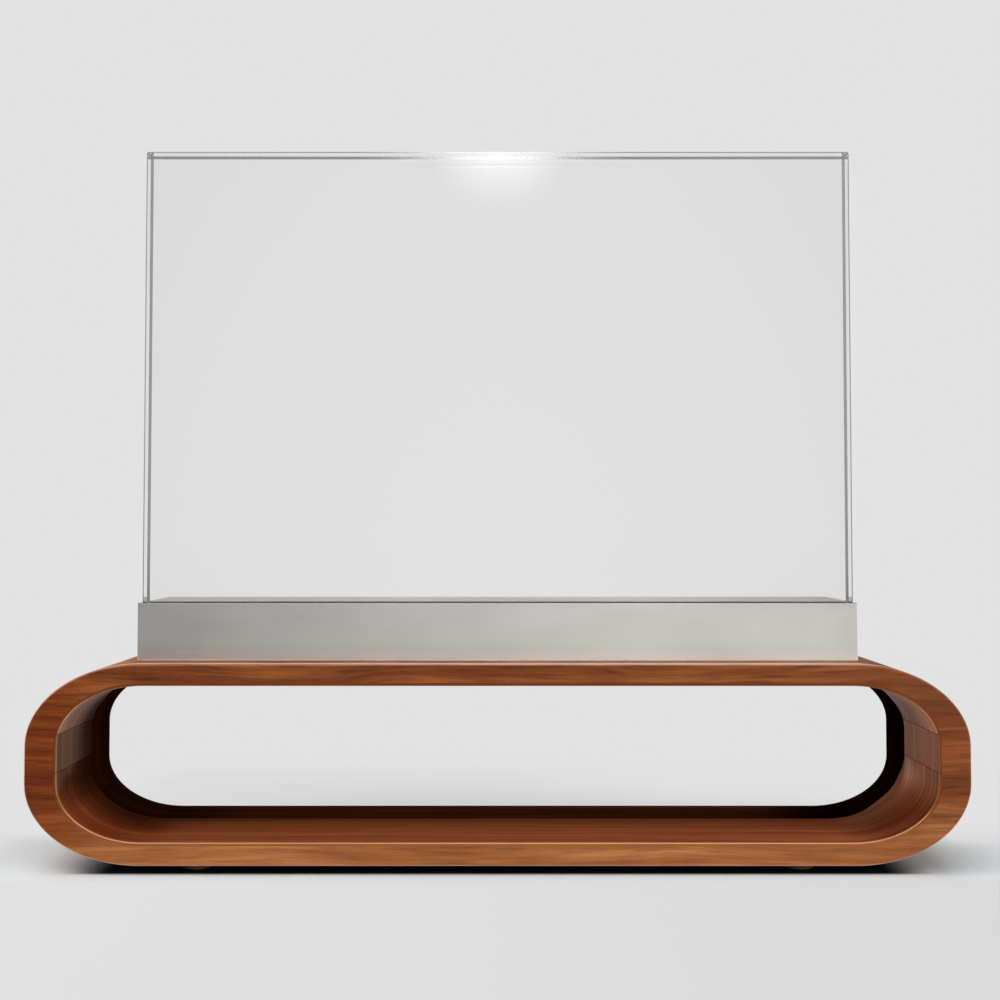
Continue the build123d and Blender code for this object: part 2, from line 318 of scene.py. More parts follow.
h = SEAM / 2
yb = Y2 - GLUE
lo_m, lo_p = flat_t(Z_SEAM_LO - h), flat_t(Z_SEAM_LO + h)
hi_m, hi_p = arc_t(Z_SEAM_HI - h), arc_t(Z_SEAM_HI + h)
pieces["liner_lower_wrap"] = lining(
    "lining_lower", Y0, yb, [((6, 1 - lo_m), (8, 1.0)), ((0, 0.0), (2, lo_m))], True, False)
pieces["liner_right_panel"] = lining(
    "lining_right", Y0, yb, [((2, lo_p), (3, hi_m))], True, False)
pieces["liner_upper_wrap"] = lining(
    "lining_upper", Y0, yb, [((3, hi_p), (5, 1 - hi_p))], True, False)
pieces["liner_left_panel"] = lining(
    "lining_left", Y0, yb, [((5, 1 - hi_m), (6, 1 - lo_p))], True, False)
b_m, b_p = flat_t(Z_BAND - BAND_GAP / 2), flat_t(Z_BAND + BAND_GAP / 2)
pieces["rear_band_lower"] = lining(
    "dark_lining_lower", Y2, Y3, [((6, 1 - b_m), (8, 1.0)), ((0, 0.0), (2, b_m))],
    False, True)
pieces["rear_band_upper"] = lining(
    "dark_lining_upper", Y2, Y3, [((2, b_p), (6, 1 - b_p))], False, True)

# screw holes through the roof of the loop
top, roof = Z_OUT_HI, Z_IN_HI
hole = [(0, roof - 0.5 * MM), (4.1 * MM, roof - 0.5 * MM), (4.1 * MM, roof),
        (2.2 * MM, roof + 1.9 * MM), (2.2 * MM, top + 0.5 * MM), (0, top + 0.5 * MM)]
for names, y in ((("liner_upper_wrap", "loop_middle_ring"), SCREW_Y[0]),
                 (("rear_band_upper", "loop_rear_ring"), SCREW_Y[1])):
    tool = turned("hole_tool", hole, [(x, y) for x in SCREW_X])
    for n in names:
        cut(pieces[n], tool)
    bpy.data.objects.remove(tool)

for n, obj in pieces.items():
    if n.startswith(("liner", "rear_band")):
        lay_grain(obj)
    even_normals(obj)

# -------------------------------------------------------------- the plinth
slot_y0, slot_y1 = -14.0 * MM, -2.2 * MM
slot_z = bar_hi.z - 8.0 * MM
section = [(bar_lo.y, bar_lo.z), (bar_hi.y, bar_lo.z), (bar_hi.y, bar_hi.z),
           (slot_y1, bar_hi.z), (slot_y1, slot_z), (slot_y0, slot_z),
           (slot_y0, bar_hi.z), (bar_lo.y, bar_hi.z)]
n = len(section)
verts = [(bar_lo.x, y, z) for y, z in section] + [(bar_hi.x, y, z) for y, z in section]
faces = [tuple(range(n)), tuple(range(2 * n - 1, n - 1, -1))]
faces += [(i, n + i, n + (i + 1) % n, (i + 1) % n) for i in range(n)]
bar = new_object("metal_plinth", verts, faces)
bm = bmesh.new()
bm.from_mesh(bar.data)
weight = bm.edges.layers.float.new("bevel_weight_edge")
for e in bm.edges:
    inside = [v for v in e.verts if slot_y0 - 1e-6 <= v.co.y <= slot_y1 + 1e-6]
    low = all(v.co.z < bar_lo.z + 1e-6 for v in e.verts)
    e[weight] = 0.3 if len(inside) == 2 else 0.25 if low else 0.6
bm.to_mesh(bar.data)
bm.free()
m = bar.modifiers.new("eased", "BEVEL")
m.limit_method = "WEIGHT"
m.width = 0.45 * MM
m.segments = 5
apply_all(bar)
tool = turned("hole_tool", [(0, bar_lo.z - 1 * MM), (2.0 * MM, bar_lo.z - 1 * MM),
                            (2.0 * MM, bar_lo.z + 7.4 * MM), (0, bar_lo.z + 7.4 * MM)],
              [(x, y) for x in SCREW_X for y in SCREW_Y])
cut(bar, tool)
bpy.data.objects.remove(tool)
even_normals(bar)
pieces["plinth_bar"] = bar

# ------------------------------------------- the U-shaped seal in the slot
wall = 0.85 * MM
g_in0, g_in1 = gas_lo.y + wall - 0.05 * MM, gas_hi.y - wall + 0.05 * MM
g_floor = glass_lo.z
section = [(gas_lo.y, gas_lo.z), (gas_hi.y, gas_lo.z), (gas_hi.y, gas_hi.z),
           (g_in1, gas_hi.z), (g_in1, g_floor), (g_in0, g_floor),
           (g_in0, gas_hi.z), (gas_lo.y, gas_hi.z)]
n = len(section)
verts = [(gas_lo.x, y, z) for y, z in section] + [(gas_hi.x, y, z) for y, z in section]
faces = [tuple(range(n)), tuple(range(2 * n - 1, n - 1, -1))]
faces += [(i, n + i, n + (i + 1) % n, (i + 1) % n) for i in range(n)]
seal = new_object("rubber_seal", verts, faces)
m = seal.modifiers.new("eased", "BEVEL")
m.width = 0.18 * MM
m.segments = 3
m.limit_method = "ANGLE"
apply_all(seal)
finish_mesh(seal.data)
even_normals(seal)
pieces["slot_gasket"] = seal

# --------------------------------------------------------- the glass panel
ARRIS = 0.5 * MM
bm = bmesh.new()
bmesh.ops.create_cube(bm, size=1.0)
for v in bm.verts:
    v.co = Vector((glass_lo.x + (v.co.x + 0.5) * (glass_hi.x - glass_lo.x),
                   glass_lo.y + (v.co.y + 0.5) * (glass_hi.y - glass_lo.y),
                   glass_lo.z + (v.co.z + 0.5) * (glass_hi.z - glass_lo.z)))
bmesh.ops.bevel(bm, geom=list(bm.edges), offset=ARRIS, segments=1, profile=0.5,
                affect="EDGES")
for f in bm.faces:
    f.smooth = False
    big = max(abs(f.normal.x), abs(f.normal.y), abs(f.normal.z)) > 0.99
    f.material_index = 0 if big else 1
mesh = bpy.data.meshes.new("glass_slab")
bm.to_mesh(mesh)
bm.free()
slab = bpy.data.objects.new("glass_slab", mesh)
scene.collection.objects.link(slab)
pieces["glass_panel"] = slab

for n, obj in pieces.items():
    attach(obj, "glass" if n == "glass_panel" else "stand")
    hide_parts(n)


# --------------------------------------------------------------- materials
class Mat:
    """Short calls for building one material's nodes."""

    def __init__(self, name):
        self.mat = bpy.data.materials.new(name)
        self.mat.use_nodes = True
        self.nt = self.mat.node_tree
        self.nt.nodes.clear()
        self.out = self.nt.nodes.new("ShaderNodeOutputMaterial")
        self.bsdf = self.nt.nodes.new("ShaderNodeBsdfPrincipled")
        self.link(self.bsdf.outputs[0], self.out.inputs["Surface"])

    def link(self, a, b):
        self.nt.links.new(a, b)

    def put(self, socket, value):
        if isinstance(value, bpy.types.NodeSocket):
            self.link(value, socket)
        else:
            socket.default_value = value

    def set(self, **kw):
        for k, v in kw.items():
            self.put(self.bsdf.inputs[k.replace("_", " ")], v)
        return self

    def math(self, op, a, b=None, c=None, clamp=False):
        n = self.nt.nodes.new("ShaderNodeMath")
        n.operation = op
        n.use_clamp = clamp
        for i, v in enumerate((a, b, c)):
            if v is not None:
                self.put(n.inputs[i], v)
        return n.outputs[0]

    def coords(self, kind="Object"):
        n = self.nt.nodes.new("ShaderNodeTexCoord")
        return n.outputs[kind]

    def normal(self):
        n = self.nt.nodes.new("ShaderNodeNewGeometry")
        return n.outputs["Normal"]

    def attribute(self, name):
        n = self.nt.nodes.new("ShaderNodeAttribute")
        n.attribute_name = name
        return n.outputs["Vector"]

    def split(self, v):
        n = self.nt.nodes.new("ShaderNodeSeparateXYZ")
        self.link(v, n.inputs[0])
        return n.outputs[0], n.outputs[1], n.outputs[2]

    def vec(self, x, y, z):
        n = self.nt.nodes.new("ShaderNodeCombineXYZ")
        for i, v in enumerate((x, y, z)):
            self.put(n.inputs[i], v)
        return n.outputs[0]

    def noise(self, v, scale=1.0, detail=2.0, rough=0.5, distort=0.0, lac=2.0):
        n = self.nt.nodes.new("ShaderNodeTexNoise")
        n.noise_dimensions = "3D"
        self.link(v, n.inputs["Vector"])
        n.inputs["Scale"].default_value = scale
        n.inputs["Detail"].default_value = detail
        n.inputs["Roughness"].default_value = rough
        n.inputs["Lacunarity"].default_value = lac
        n.inputs["Distortion"].default_value = distort
        return n.outputs["Fac"]

    def remap(self, v, a, b, c=0.0, d=1.0, smooth=False):
        n = self.nt.nodes.new("ShaderNodeMapRange")
        n.interpolation_type = "SMOOTHSTEP" if smooth else "LINEAR"
        n.clamp = True
        self.link(v, n.inputs["Value"])
        for key, x in (("From Min", a), ("From Max", b), ("To Min", c), ("To Max", d)):
            n.inputs[key].default_value = x
        return n.outputs["Result"]

    def ramp(self, v, stops):
        n = self.nt.nodes.new("ShaderNodeValToRGB")
        self.link(v, n.inputs[0])
        cr = n.color_ramp
        while len(cr.elements) < len(stops):
            cr.elements.new(0.5)
        for e, (p, c) in zip(cr.elements, stops):
            e.position = p
            e.color = (*c, 1.0) if len(c) == 3 else c
        return n.outputs["Color"]

    def mix(self, f, a, b, kind="MIX"):
        n = self.nt.nodes.new("ShaderNodeMix")
        n.data_type = "RGBA"
        n.blend_type = kind
        n.clamp_result = False
        self.put(n.inputs[0], f)
        for s, v in ((n.inputs[6], a), (n.inputs[7], b)):
            self.put(s, v if isinstance(v, bpy.types.NodeSocket) or len(v) == 4 else (*v, 1.0))
        return n.outputs[2]

    def grey(self, v):
        """A value as a grey colour."""
        return self.vec(v, v, v)

    def bump(self, height, distance, strength=1.0):
        n = self.nt.nodes.new("ShaderNodeBump")
        n.inputs["Strength"].default_value = strength
        n.inputs["Distance"].default_value = distance
        self.link(height, n.inputs["Height"])
        self.link(n.outputs[0], self.bsdf.inputs["Normal"])


def scaled(colour, k):
    return tuple(min(1.0, c * k) for c in colour)


def wood_layers(m, x, r, w, seed, mid, dark, light, streak_len, streak_w,
                deep=0.55, shine=1.3):
    """Colour, and a 0..1 grain value, of walnut whose grain runs along x and
    whose growth rings follow r. Lengths in metres."""
    warp = m.noise(m.vec(m.math("MULTIPLY", x, 11.0), m.math("MULTIPLY", r, 55.0), seed),
                   detail=2.0)
    warp2 = m.noise(m.vec(m.math("MULTIPLY", x, 38.0), m.math("MULTIPLY", r, 170.0),
                          seed + 3.1), detail=1.0)
    rr = m.math("ADD", r, m.math("MULTIPLY", m.math("SUBTRACT", warp, 0.5), 0.0070))
    rr = m.math("ADD", rr, m.math("MULTIPLY", m.math("SUBTRACT", warp2, 0.5), 0.0008))
    # broad zones of heart and pale wood
    zone = m.noise(m.vec(m.math("MULTIPLY", x, 0.16 / streak_len),
                         m.math("MULTIPLY", rr, 0.24 / streak_w),
                         m.math("ADD", m.math("MULTIPLY", w, 6.0), seed)),
                   detail=2.5, rough=0.5)
    # streaks
    streak = m.noise(m.vec(m.math("MULTIPLY", x, 0.62 / streak_len),
                           m.math("MULTIPLY", rr, 0.9 / streak_w),
                           m.math("ADD", m.math("MULTIPLY", w, 30.0), seed + 7.7)),
                     detail=4.0, rough=0.58, distort=0.15)
    fine = m.noise(m.vec(m.math("MULTIPLY", x, 1.5 / streak_len),
                         m.math("MULTIPLY", rr, 3.6 / streak_w),
                         m.math("ADD", m.math("MULTIPLY", w, 260.0), seed + 1.3)),
                   detail=2.0, rough=0.6)
    pores = m.noise(m.vec(m.math("MULTIPLY", x, 3.4 / streak_len),
                          m.math("MULTIPLY", rr, 5.5 / streak_w),
                          m.math("ADD", m.math("MULTIPLY", w, 1800.0), seed + 5.9)),
                    detail=1.0)
    pore = m.remap(pores, 0.66, 0.74, 0.0, 1.0, smooth=True)
    z = m.remap(zone, 0.33, 0.68)
    colour = m.ramp(z, [(0.0, scaled(mid, 0.80)), (0.45, mid), (1.0, light)])
    s = m.remap(streak, 0.30, 0.70)
    tone = m.ramp(s, [(0.0, (deep, deep * 0.90, deep * 0.82)), (0.36, (0.86, 0.84, 0.82)),
                      (0.62, (1.0, 1.0, 1.0)), (1.0, (shine, shine * 1.03, shine * 1.05))])
    colour = m.mix(1.0, colour, tone, "MULTIPLY")
    f = m.remap(fine, 0.3, 0.7, 0.86, 1.13)
    colour = m.mix(1.0, colour, m.grey(f), "MULTIPLY")
    colour = m.mix(m.math("MULTIPLY", pore, 0.42), colour, dark)
    grain = m.math("SUBTRACT", m.math("ADD", m.math("MULTIPLY", s, 0.6),
                                      m.math("MULTIPLY", fine, 0.4)),
                   m.math("MULTIPLY", pore, 0.8))
    return colour, grain, s, pore


# tint of the painted bounce light on the lower board
BOUNCE_TINT = (1.90, 2.58, 3.65)


def walnut_board(name, seed, pith_y, pith_z):
    """Solid walnut cut from one block: grain along the length, end grain at
    the two ends, growth rings about a pith below and behind."""
    m = Mat(name)
    x, y, z = m.split(m.coords())
    dy, dz = m.math("SUBTRACT", y, pith_y), m.math("SUBTRACT", z, pith_z)
    r = m.math("SQRT", m.math("ADD", m.math("MULTIPLY", dy, dy),
                              m.math("MULTIPLY", dz, dz)))
    mid, dark, light = (0.192, 0.0470, 0.0095), (0.050, 0.012, 0.0040), (0.290, 0.088, 0.022)
    colour, grain, s, pore = wood_layers(
        m, m.math("ADD", x, seed), r, y, seed, mid, dark, light, 11 * MM, 0.85 * MM,
        deep=0.57, shine=1.17)
    # painted light: the lower board is painted paler, blending up through the corners, standing
    # in for warm light bounced up from below
    pale = m.remap(z, 26 * MM, 7 * MM, 0.0, 1.0, smooth=True)
    colour = m.mix(pale, colour, m.mix(1.0, colour, BOUNCE_TINT, "MULTIPLY"))
    colour = m.mix(m.math("MULTIPLY", pale, 0.28), colour, (0.325, 0.108, 0.032))
    # painted light: the upper one is painted a little paler towards the right, where the lamps on
    # the right fall
    right_lit = m.math("MULTIPLY", m.remap(x, -0.02, 0.05, 0.0, 1.0, smooth=True),
                  m.remap(z, 50 * MM, 57 * MM, 0.0, 1.0, smooth=True))
    colour = m.mix(right_lit, colour, m.mix(1.0, colour, (1.09, 1.19, 1.24), "MULTIPLY"))
    # painted shade: the left end is painted darker and redder, lacking the sheen the lamps on the
    # right give
    left_end_shade = m.remap(x, -0.120, -0.142, 0.0, 1.0, smooth=True)
    colour = m.mix(left_end_shade, colour, m.mix(1.0, colour, (0.78, 0.56, 0.31), "MULTIPLY"))
    nx, ny, nz = m.split(m.normal())
    # painted reflection: the top beside and before the plinth is painted paler and greyer,
    # standing in for the bright metal mirrored at a grazing angle, most towards the right
    top_sheen = m.math("MULTIPLY", m.remap(z, 66.40 * MM, 66.56 * MM, 0.0, 1.0),
                  m.remap(y, -14.0 * MM, -15.0 * MM, 0.0, 1.0))
    colour = m.mix(top_sheen, colour, m.mix(1.0, colour, m.mix(
        m.remap(x, -0.11, 0.10, 0.0, 1.0, smooth=True), (1.02, 1.40, 2.1),
        (1.22, 2.15, 3.7)), "MULTIPLY"))
    # painted light: the upward faces left of the plinth are painted paler, where the left lamps
    # fall
    left_top_lit = m.math("MULTIPLY", m.remap(x, -0.1165, -0.1185, 0.0, 1.0, smooth=True),
                   m.remap(nz, 0.55, 0.80, 0.0, 1.0, smooth=True))
    colour = m.mix(left_top_lit, colour, m.mix(1.0, colour, (1.55, 2.0, 1.6), "MULTIPLY"))
    # painted shade: the right end is painted a little darker
    right_end_shade = m.remap(x, 0.10, 0.135, 0.0, 1.0, smooth=True)
    colour = m.mix(right_end_shade, colour, m.mix(1.0, colour, (0.93, 0.92, 0.92), "MULTIPLY"))
    # the rounded outer edges are rubbed back to paler wood and painted paler still as a
    # highlight, with the flat top strip along the front painted as a highlight too, dimmer at the
    # right end in the plinth's painted shade
    t = m.math("ABSOLUTE", ny)
    down = m.math("MULTIPLY", m.remap(t, 0.03, 0.22, 0.0, 1.0, smooth=True),
                  m.remap(t, 0.95, 0.82, 0.0, 1.0, smooth=True))
    cut = m.remap(x, -0.10, 0.0, 0.22, 0.0, smooth=True)
    over = m.math("MULTIPLY", m.remap(y, Y0 + 2.6 * MM, Y0 + 1.9 * MM, 0.0, 1.0, smooth=True),
                  m.remap(m.math("ADD", t, cut), 0.78, 0.58, 0.0, 1.0, smooth=True))
    above = m.remap(nz, 0.45, 0.60, 0.0, 1.0, smooth=True)
    down = m.math("MULTIPLY", down, m.math("MAXIMUM", m.remap(
        y, Y0 + EDGE_R, Y0 + EDGE_R + 0.1 * MM, 1.0, 0.0), m.remap(
        y, Y3 - EDGE_R - 0.1 * MM, Y3 - EDGE_R, 0.0, 1.0)))
    wear_and_highlight = m.math("ADD", m.math("MULTIPLY", down, m.math("SUBTRACT", 1.0, above)),
                 m.math("MULTIPLY", over, above))
    wear_and_highlight = m.math("MULTIPLY", wear_and_highlight, m.remap(s, 0.0, 1.0, 0.70, 0.92))
    worn_lit_colour = m.mix(m.remap(x, 0.113, 0.122, 0.0, 1.0, smooth=True),
                 (0.64, 0.425, 0.315), (0.37, 0.205, 0.125))
    colour = m.mix(wear_and_highlight, colour, m.mix(m.remap(nz, -0.35, 0.25, 0.0, 1.0, smooth=True),
                                      (0.62, 0.37, 0.26), worn_lit_colour))
    m.set(Base_Color=colour, Roughness=m.remap(grain, 0.0, 1.0, 0.56, 0.44),
          Specular_IOR_Level=0.16)
    m.bump(grain, 0.00006, 0.55)
    return m.mat


def walnut_lining(name, seed, mid, dark, light, rough, spec):
    """Veneer whose grain follows the bend of the lining. Its front edge is
    sanded back to paler wood, with a painted highlight and painted shade on it."""
    m = Mat(name)
    run, y, d = m.split(m.attribute("grain"))
    x, _, z = m.split(m.coords())
    colour, grain, s, pore = wood_layers(
        m, run, y, d, seed, mid, dark, light, 46 * MM, 0.8 * MM, deep=0.80, shine=1.10)
    # the ends are painted darker, as painted shade, and greyer, as a painted sheen, the left most
    left = m.remap(x, -0.100, -0.124, 0.0, 1.0, smooth=True)
    right = m.remap(x, 0.108, 0.128, 0.0, 1.0, smooth=True)
    fore = m.remap(y, -12.0 * MM, -22.0 * MM, 0.0, 1.0, smooth=True)
    if name == "lining_oiled":
        up = m.remap(z, 17 * MM, 31 * MM, 0.0, 1.0, smooth=True)
        # painted shade: the left end darker, and darker still higher up its corner
        colour = m.mix(left, colour, m.mix(1.0, colour, (0.80, 0.68, 0.60), "MULTIPLY"))
        colour = m.mix(m.math("MULTIPLY", left, up), colour,
                       m.mix(1.0, colour, (0.34, 0.52, 0.78), "MULTIPLY"))
        # painted shade: the right end darker low down; a painted sheen, paler and greyer, above
        # it
        low = m.math("MULTIPLY", right, m.remap(z, 28 * MM, 16 * MM, 0.0, 1.0, smooth=True))
        colour = m.mix(low, colour, m.mix(1.0, colour, (0.47, 0.45, 0.43), "MULTIPLY"))
        high = m.math("MULTIPLY", right, m.remap(z, 20 * MM, 29 * MM, 0.0, 1.0, smooth=True))
        colour = m.mix(high, colour, m.mix(1.0, colour, (0.98, 1.55, 2.3), "MULTIPLY"))
        # the painted grey sheen of the left end runs on below its seam, furthest in front
        slant = m.math("SUBTRACT", z, m.math("MULTIPLY", m.math("ADD", y, 24 * MM), 0.38))
        sheen_run_on = m.math("MULTIPLY", left, m.remap(slant, 24 * MM, 29 * MM, 0.0, 1.0, smooth=True))
        colour = m.mix(sheen_run_on, colour, m.mix(1.0, colour, (1.62, 2.4, 3.5), "MULTIPLY"))
        # painted light: the right corner is painted paler and greyer towards the back, evening it
        # out from front to back
        right_corner_lit = m.math("MULTIPLY", right, m.remap(y, -12 * MM, 1 * MM, 0.0, 1.0, smooth=True))
        right_corner_lit = m.math("MULTIPLY", right_corner_lit, m.remap(z, 33.5 * MM, 26 * MM, 0.0, 1.0))
        colour = m.mix(right_corner_lit, colour, m.mix(1.0, colour, (1.75, 2.3, 3.0), "MULTIPLY"))
        # painted shade: the front of the right corner darker
        ahead = m.math("MULTIPLY", right, m.remap(y, -13 * MM, -21 * MM, 0.0, 1.0, smooth=True))
        colour = m.mix(ahead, colour, m.mix(1.0, colour, (0.62, 0.62, 0.62), "MULTIPLY"))
        # painted light: where it turns into the floor in front it is painted lighter again
        turn = m.math("MULTIPLY", ahead, m.remap(z, 20 * MM, 11.5 * MM, 0.0, 1.0, smooth=True))
        colour = m.mix(turn, colour, m.mix(1.0, colour, (1.95, 1.85, 2.10), "MULTIPLY"))
        # painted shade: the left corner is painted darker in the middle of its bend
        bend = m.math("MULTIPLY", m.remap(z, 18 * MM, 22.5 * MM, 0.0, 1.0, smooth=True),
                      m.remap(z, 31 * MM, 26 * MM, 0.0, 1.0, smooth=True))
        bend = m.math("MULTIPLY", m.math("MULTIPLY", bend, left),
                      m.remap(y, -20 * MM, -13 * MM, 0.0, 1.0, smooth=True))
        colour = m.mix(bend, colour, m.mix(1.0, colour, (0.64, 0.66, 0.72), "MULTIPLY"))
        # painted shade: the floor of the lining darker towards the front
        floor = m.math("MULTIPLY", fore, m.remap(z, 17 * MM, 12 * MM, 0.0, 1.0, smooth=True))
        colour = m.mix(floor, colour, m.mix(1.0, colour, (0.84, 0.84, 0.84), "MULTIPLY"))
    if name == "lining_waxed":
        # painted sheen: the front of the left end and the front of the right end painted paler
        # and greyer
        colour = m.mix(m.math("MULTIPLY", left, fore), colour,
                       m.mix(1.0, colour, (1.06, 2.05, 3.1), "MULTIPLY"))
        colour = m.mix(m.math("MULTIPLY", right, m.remap(y, -4.0 * MM, -20.0 * MM, 0.0, 1.0)),
                       colour, m.mix(1.0, colour, (1.75, 2.2, 2.5), "MULTIPLY"))
    # painted shade: the dark of the rear lining reaches softly forward,
    # most on the left and not on the right
    soft_shade = m.math("MULTIPLY", m.remap(y, -6.0 * MM, 5.7 * MM, 0.0, 0.46, smooth=True),
                   m.remap(x, 0.100, 0.132, 1.0, 0.0, smooth=True))
    most = m.math("MULTIPLY", m.remap(y, -17.0 * MM, 3.0 * MM, 0.0, 0.95, smooth=True), left)
    most = m.math("MULTIPLY", most, m.remap(z, 20 * MM, 29 * MM, 0.80, 1.0, smooth=True))
    shade = m.math("MAXIMUM", soft_shade, most)
    colour = m.mix(shade, colour, m.mix(left, (0.034, 0.0085, 0.0035),
                                        (0.024, 0.0065, 0.0028)))
    if name == "lining_waxed":
        # the painted shade reaches further forward round the upper corners
        edge = m.math("ADD", y, m.remap(z, 50.5 * MM, 56.0 * MM, 0.0, 5.4 * MM, smooth=True))
        reach = m.remap(edge, 5.9 * MM, 6.5 * MM, 0.0, 1.0, smooth=True)
        colour = m.mix(reach, colour, (0.0085, 0.0030, 0.0014))
        shade = m.math("MAXIMUM", shade, reach)
    # its flat front edge is the colour of the boards, painted paler low down
    # like them, with a thin pale line where the rounding is sanded through;
    # the line is also a painted highlight, strong low down and dimmed higher
    # up as painted shade
    t = m.math("ABSOLUTE", m.split(m.normal())[1])
    tone = m.grey(m.remap(s, 0.0, 1.0, 0.84, 1.08))
    near = m.remap(y, Y0 + 0.60 * MM, Y0 + 0.50 * MM, 0.0, 1.0)
    flat = m.mix(m.remap(z, 26 * MM, 7 * MM, 0.0, 1.0, smooth=True),
                 (0.185, 0.045, 0.0095), (0.355, 0.118, 0.030))
    colour = m.mix(m.math("MULTIPLY", near, m.remap(t, 0.80, 0.92, 0.0, 1.0, smooth=True)),
                   colour, m.mix(1.0, flat, tone, "MULTIPLY"))
    line = m.math("MULTIPLY", m.remap(t, 0.26, 0.45, 0.0, 1.0, smooth=True),
                  m.remap(t, 0.93, 0.84, 0.0, 1.0, smooth=True))
    line = m.math("MULTIPLY", m.math("MULTIPLY", line, near),
                  m.remap(z, 57.5 * MM, 51 * MM, 0.04, 0.92, smooth=True))
    # the painted highlight line is faint along the upright ends
    upright = m.math("MULTIPLY", m.remap(z, 17 * MM, 23 * MM, 0.0, 1.0, smooth=True),
                     m.remap(z, 50 * MM, 45 * MM, 0.0, 1.0, smooth=True))
    line = m.math("MULTIPLY", line, m.math("SUBTRACT", 1.0, m.math(
        "MULTIPLY", upright, m.remap(x, -0.1, 0.1, 0.60, 0.80))))
    line = m.math("MULTIPLY", line, m.remap(x, 0.095, 0.125, 1.0, 0.74, smooth=True))
    colour = m.mix(line, colour, m.mix(1.0, (0.62, 0.345, 0.205), tone, "MULTIPLY"))
    m.set(Base_Color=colour, Roughness=m.remap(grain, 0.0, 1.0, rough + 0.08, rough - 0.05),
          Specular_IOR_Level=m.math("MULTIPLY", m.math("SUBTRACT", 1.0, shade), spec))
    m.bump(grain, 0.00005, 0.45)
    return m.mat


def dark_lining():
    """The rear lining, coloured near black as painted shade for the dark at the back of the loop,
    matt, with a trace of grain.
    """
    m = Mat("dark_lining")
    run, y, d = m.split(m.attribute("grain"))
    x, _, z = m.split(m.coords())
    mid, dark, light = (0.0480, 0.0120, 0.0040), (0.012, 0.003, 0.0015), (0.078, 0.0205, 0.0075)
    colour, grain, s, pore = wood_layers(
        m, run, y, d, 47.0, mid, dark, light, 40 * MM, 1.7 * MM, deep=0.7, shine=1.18)
    # painted shade: darker at the left end and blackest round the right end
    left = m.remap(x, -0.085, -0.112, 0.0, 1.0, smooth=True)
    colour = m.mix(left, colour, m.mix(1.0, colour, (0.42, 0.40, 0.36), "MULTIPLY"))
    right = m.remap(x, 0.085, 0.112, 0.0, 1.0, smooth=True)
    colour = m.mix(right, colour, m.mix(1.0, colour, (0.11, 0.10, 0.12), "MULTIPLY"))
    # where the painted shade stops short, low at the right end, it keeps the brown of the lit
    # lining
    wide = m.math("MULTIPLY", m.remap(z, 10 * MM, 16 * MM, 0.0, 4.0 * MM, smooth=True),
                  m.remap(z, 33 * MM, 23 * MM, 0.0, 1.0, smooth=True))
    past = m.math("SUBTRACT", m.math("SUBTRACT", y, 5.6 * MM), wide)
    unshaded = m.math("MULTIPLY", right, m.remap(past, 0.2 * MM, -0.5 * MM, 0.0, 1.0, smooth=True))
    colour = m.mix(unshaded, colour, m.mix(1.0, (0.300, 0.125, 0.070), m.grey(
        m.remap(s, 0.0, 1.0, 0.8, 1.1)), "MULTIPLY"))
    m.set(Base_Color=colour, Roughness=m.remap(grain, 0.0, 1.0, 0.98, 0.88),
          Specular_IOR_Level=0.0)
    m.bump(grain, 0.00005, 0.4)
    return m.mat


def small_wood(name, mid, light, seed):
    """Plain dark walnut for the turned feet and the dowels."""
    m = Mat(name)
    x, y, z = m.split(m.coords())
    colour, grain, s, pore = wood_layers(
        m, x, z, y, seed, mid, scaled(mid, 0.25), light, 9 * MM, 0.7 * MM)
    m.set(Base_Color=colour, Roughness=m.remap(grain, 0.0, 1.0, 0.55, 0.42),
          Specular_IOR_Level=0.4)
    m.bump(grain, 0.00005, 0.5)
    return m.mat


